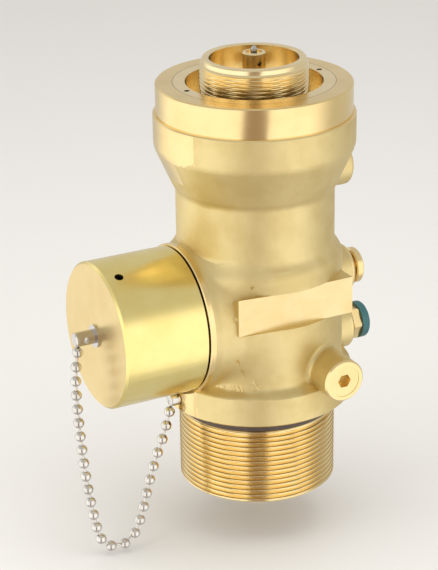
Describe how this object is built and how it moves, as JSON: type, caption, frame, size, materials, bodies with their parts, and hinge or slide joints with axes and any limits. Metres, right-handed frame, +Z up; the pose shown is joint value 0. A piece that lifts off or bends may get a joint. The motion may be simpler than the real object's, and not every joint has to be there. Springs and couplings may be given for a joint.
{
  "type": "cylinder valve",
  "caption": "Forged brass cylinder valve with threaded inlet, side outlet under a vented safety cap on a ball chain, actuator spigot with pilot pin, and side service ports.",
  "frame": {"origin": "centre of the shoulder face that seats on the cylinder neck", "axes": "+Z up the valve axis towards the actuator spigot, -X along the outlet towards its cap, -Y towards the side port and the marking pad"},
  "size_m": [0.1318, 0.0865, 0.2013],
  "materials": {
    "forged_brass": "fine blasted satin",
    "turned_brass": "fine turned, bright",
    "polished_brass": "polished round the side, satin turned face",
    "black_rubber": "smooth",
    "stainless_steel": "ground",
    "nickel": "nickel plated",
    "copper": "annealed, dull",
    "seal_plastic": "machined",
    "teal_plastic": "moulded satin"
  },
  "bodies": {
    "valve": {"valve_body": "forged_brass", "neck_seal": "black_rubber", "bonnet": "turned_brass", "bonnet_seal": "black_rubber", "pilot_housing": "turned_brass", "pilot_plug": "turned_brass", "pilot_spring": "stainless_steel", "piston_spring": "stainless_steel", "relief_plug": "turned_brass", "burst_disc": "nickel", "relief_washer": "copper", "gauge_fitting": "turned_brass", "gauge_spring": "stainless_steel", "side_port_plug": "turned_brass", "side_port_seal": "black_rubber", "pilot_port_plug": "turned_brass", "pilot_port_seal": "black_rubber", "chain_anchor": "nickel"},
    "piston": {"piston": "turned_brass", "piston_seal": "black_rubber", "seat_seal": "seal_plastic", "seal_retainer": "turned_brass", "retainer_screw": "stainless_steel"},
    "pilot_pin": {"pilot_pin": "stainless_steel", "pilot_seal": "seal_plastic"},
    "chain_swivel": {"cap_swivel": "nickel", "swivel_washer": "nickel", "swivel_clip": "stainless_steel", "ball_chain": "nickel"},
    "cap": {"outlet_cap": "polished_brass"},
    "gauge_core": {"gauge_core": "stainless_steel"},
    "dust_cap": {"gauge_cap": "teal_plastic"}
  },
  "joints": [
    {"name": "piston_lift", "type": "slide", "parent": "valve", "child": "piston", "axis": [0, 0, 1], "range_m": [0, 0.0147], "stiffness_N_per_m": 1500, "springref_m": -0.02, "deforming": ["piston_spring"]},
    {"name": "pilot_pin_press", "type": "slide", "parent": "valve", "child": "pilot_pin", "axis": [0, 0, -1], "range_m": [0, 0.0016], "stiffness_N_per_m": 800, "springref_m": -0.004, "deforming": ["pilot_spring"]},
    {"name": "cap_travel", "type": "slide", "parent": "valve", "child": "chain_swivel", "axis": [-1, 0, 0], "range_m": [0, 0.01693]},
    {"name": "cap_turn", "type": "hinge", "parent": "chain_swivel", "child": "cap", "pos_m": [-0.055, 0, 0.0378], "axis": [-1, 0, 0], "range_deg": [0, 2880]},
    {"name": "gauge_core_press", "type": "slide", "parent": "valve", "child": "gauge_core", "axis": [-1, 0, 0], "range_m": [0, 0.001], "stiffness_N_per_m": 400, "springref_m": -0.003, "deforming": ["gauge_spring"]},
    {"name": "dust_cap_pull", "type": "slide", "parent": "valve", "child": "dust_cap", "axis": [1, 0, 0], "range_m": [0, 0.006]}
  ],
  "couplings": [
    {"joint": "cap_travel", "follows": "cap_turn", "m_per_rad": 0.00033688}
  ]
}
